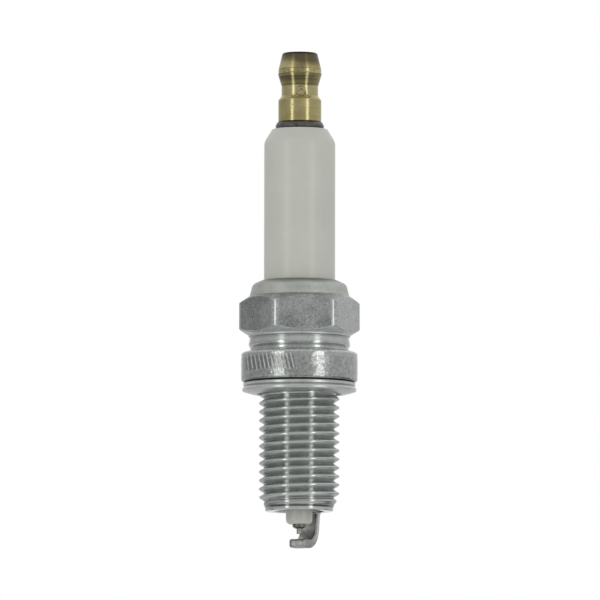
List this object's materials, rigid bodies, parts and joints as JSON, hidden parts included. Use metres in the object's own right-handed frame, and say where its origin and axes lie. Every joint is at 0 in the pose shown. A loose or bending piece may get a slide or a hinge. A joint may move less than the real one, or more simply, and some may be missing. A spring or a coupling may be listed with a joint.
{
  "type": "spark plug",
  "caption": "Spark plug: ceramic insulator in a plated steel hex shell with a threaded reach, loose captive crush gasket, screw-on brass terminal, and ground strap over a fine-wire tip.",
  "frame": {"origin": "on the plug's axis, in the plane of the seat gasket's lower face, where the plug meets the cylinder head", "axes": "+Z along the axis towards the terminal, hexagon flats facing +Y and -Y, ground strap 60 degrees round from +X towards +Y"},
  "size_m": [0.0176, 0.017, 0.0722],
  "materials": {
    "brass": "satin",
    "black_rubber": "matte",
    "plain_steel": "satin",
    "insulator_glaze": "gloss",
    "seal_glass": "satin",
    "resistor_mix": "matte",
    "nickel_alloy": "satin",
    "copper": "satin",
    "tip_metal": "satin",
    "zinc_plate": "satin",
    "talc": "matte",
    "gasket_steel": "satin",
    "strap_alloy": "satin"
  },
  "bodies": {
    "body": {"terminal_stud": "plain_steel", "insulator": "insulator_glaze", "upper_glass_seal": "seal_glass", "resistor": "resistor_mix", "lower_glass_seal": "seal_glass", "center_electrode": "nickel_alloy", "electrode_copper_core": "copper", "iridium_tip": "tip_metal", "shell": "zinc_plate", "upper_packing_ring": "plain_steel", "talc_packing": "talc", "lower_packing_ring": "plain_steel", "inner_seat_washer": "plain_steel", "ground_strap": "strap_alloy"},
    "seal_ring": {"terminal_seal_ring": "black_rubber"},
    "nut": {"terminal_nut": "brass"},
    "gasket": {"seat_gasket": "gasket_steel"}
  },
  "joints": [
    {"name": "terminal_lift", "type": "slide", "parent": "body", "child": "seal_ring", "axis": [0, 0, 1], "range_m": [0, 0.007]},
    {"name": "terminal_unscrew", "type": "hinge", "parent": "seal_ring", "child": "nut", "pos_m": [0, 0, 0.03946], "axis": [0, 0, 1], "range_deg": [0, 3600]},
    {"name": "gasket_spin", "type": "hinge", "parent": "body", "child": "gasket", "pos_m": [0, 0, 0], "axis": [0, 0, 1], "continuous": true}
  ],
  "couplings": [
    {"joint": "terminal_unscrew", "follows": "terminal_lift", "rad_per_m": 8975.9}
  ]
}
